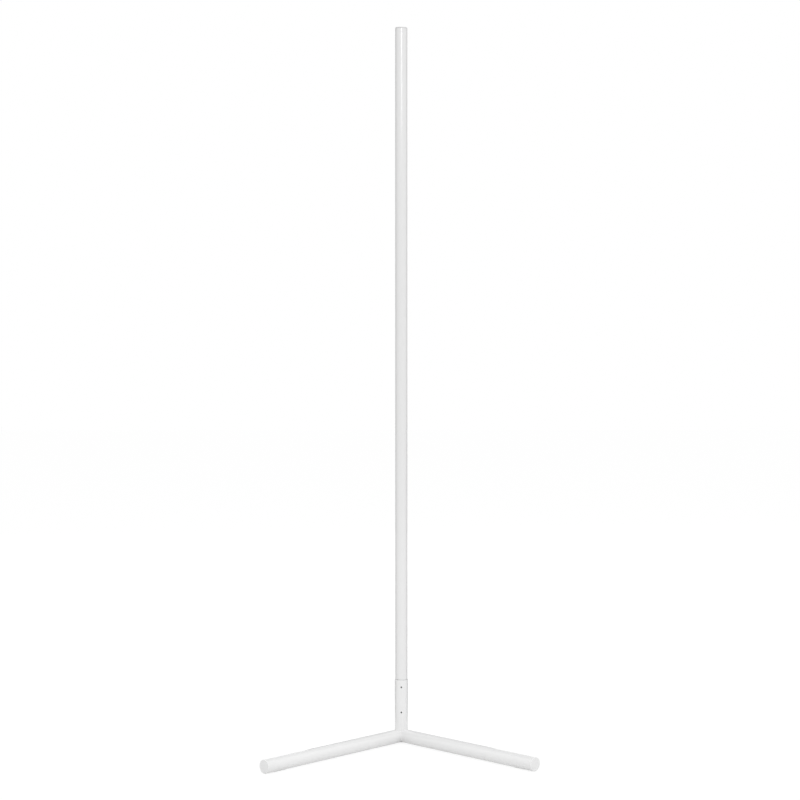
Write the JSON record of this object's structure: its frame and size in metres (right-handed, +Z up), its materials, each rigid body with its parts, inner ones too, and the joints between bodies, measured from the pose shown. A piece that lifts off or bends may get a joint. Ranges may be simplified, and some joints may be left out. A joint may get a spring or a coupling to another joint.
{
  "type": "corner floor lamp",
  "caption": "Slim corner floor lamp: a round upright light tube, lit at the back through an opal cover, turns in a short socket welded on two legs in a V.",
  "frame": {"origin": "on the floor, on the axis of the light tube and above the heel where the two legs meet", "axes": "+Z up along the light tube; -Y forward between the two legs, into the room; +Y back, where the light slot and the cord exit look; +X to the right seen from the front"},
  "size_m": [0.5566, 0.2981, 1.5202],
  "materials": {
    "coated_steel": "white satin powder coat on steel tube",
    "coated_aluminium": "white satin powder coat on an aluminium profile",
    "moulded_cap": "white moulded plastic, fine texture",
    "glide_pad": "pale slippery plastic film",
    "grommet_rubber": "white rubber",
    "black_steel": "black oxide on hardened steel",
    "opal_cover": "opal white diffusing plastic",
    "cast_aluminium": "die-cast, turned on the shank",
    "zinc_steel": "zinc plated",
    "white_nylon": "moulded nylon",
    "red_insulation": "wire insulation",
    "black_insulation": "wire insulation",
    "circuit_board": "white solder mask on a flexible board",
    "led_package": "moulded package with yellow phosphor",
    "resistor_chip": "black glaze on a ceramic chip",
    "solder": "bright solder"
  },
  "bodies": {
    "base": {"left_leg": "coated_steel", "right_leg": "coated_steel", "socket": "coated_steel", "left_leg_cap": "moulded_cap", "right_leg_cap": "moulded_cap", "left_glide": "glide_pad", "right_glide": "glide_pad", "heel_glide": "glide_pad", "cord_grommet": "grommet_rubber"},
    "upper_screw": {"upper_set_screw": "black_steel"},
    "lower_screw": {"lower_set_screw": "black_steel"},
    "light": {"light_tube": "coated_aluminium", "diffuser": "opal_cover", "top_cap": "moulded_cap", "spigot": "cast_aluminium", "spigot_screws": "zinc_steel", "cord_clamp": "white_nylon", "cord_clamp_screws": "zinc_steel", "terminal_block": "white_nylon", "terminal_screws": "zinc_steel", "positive_lead": "red_insulation", "negative_lead": "black_insulation", "light_strip": "circuit_board", "leds": "led_package", "strip_resistors": "resistor_chip", "solder_joints": "solder"}
  },
  "joints": [
    {"name": "light_turn", "type": "hinge", "parent": "base", "child": "light", "pos_m": [0, 0, 0.135], "axis": [0, 0, 1], "range_deg": [-90, 90]},
    {"name": "upper_screw_turn", "type": "hinge", "parent": "base", "child": "upper_screw", "pos_m": [0, -0.0138, 0.12], "axis": [0, -1, 0], "range_deg": [0, 1080]},
    {"name": "lower_screw_turn", "type": "hinge", "parent": "base", "child": "lower_screw", "pos_m": [0, -0.0138, 0.066], "axis": [0, -1, 0], "range_deg": [0, 1080]}
  ]
}
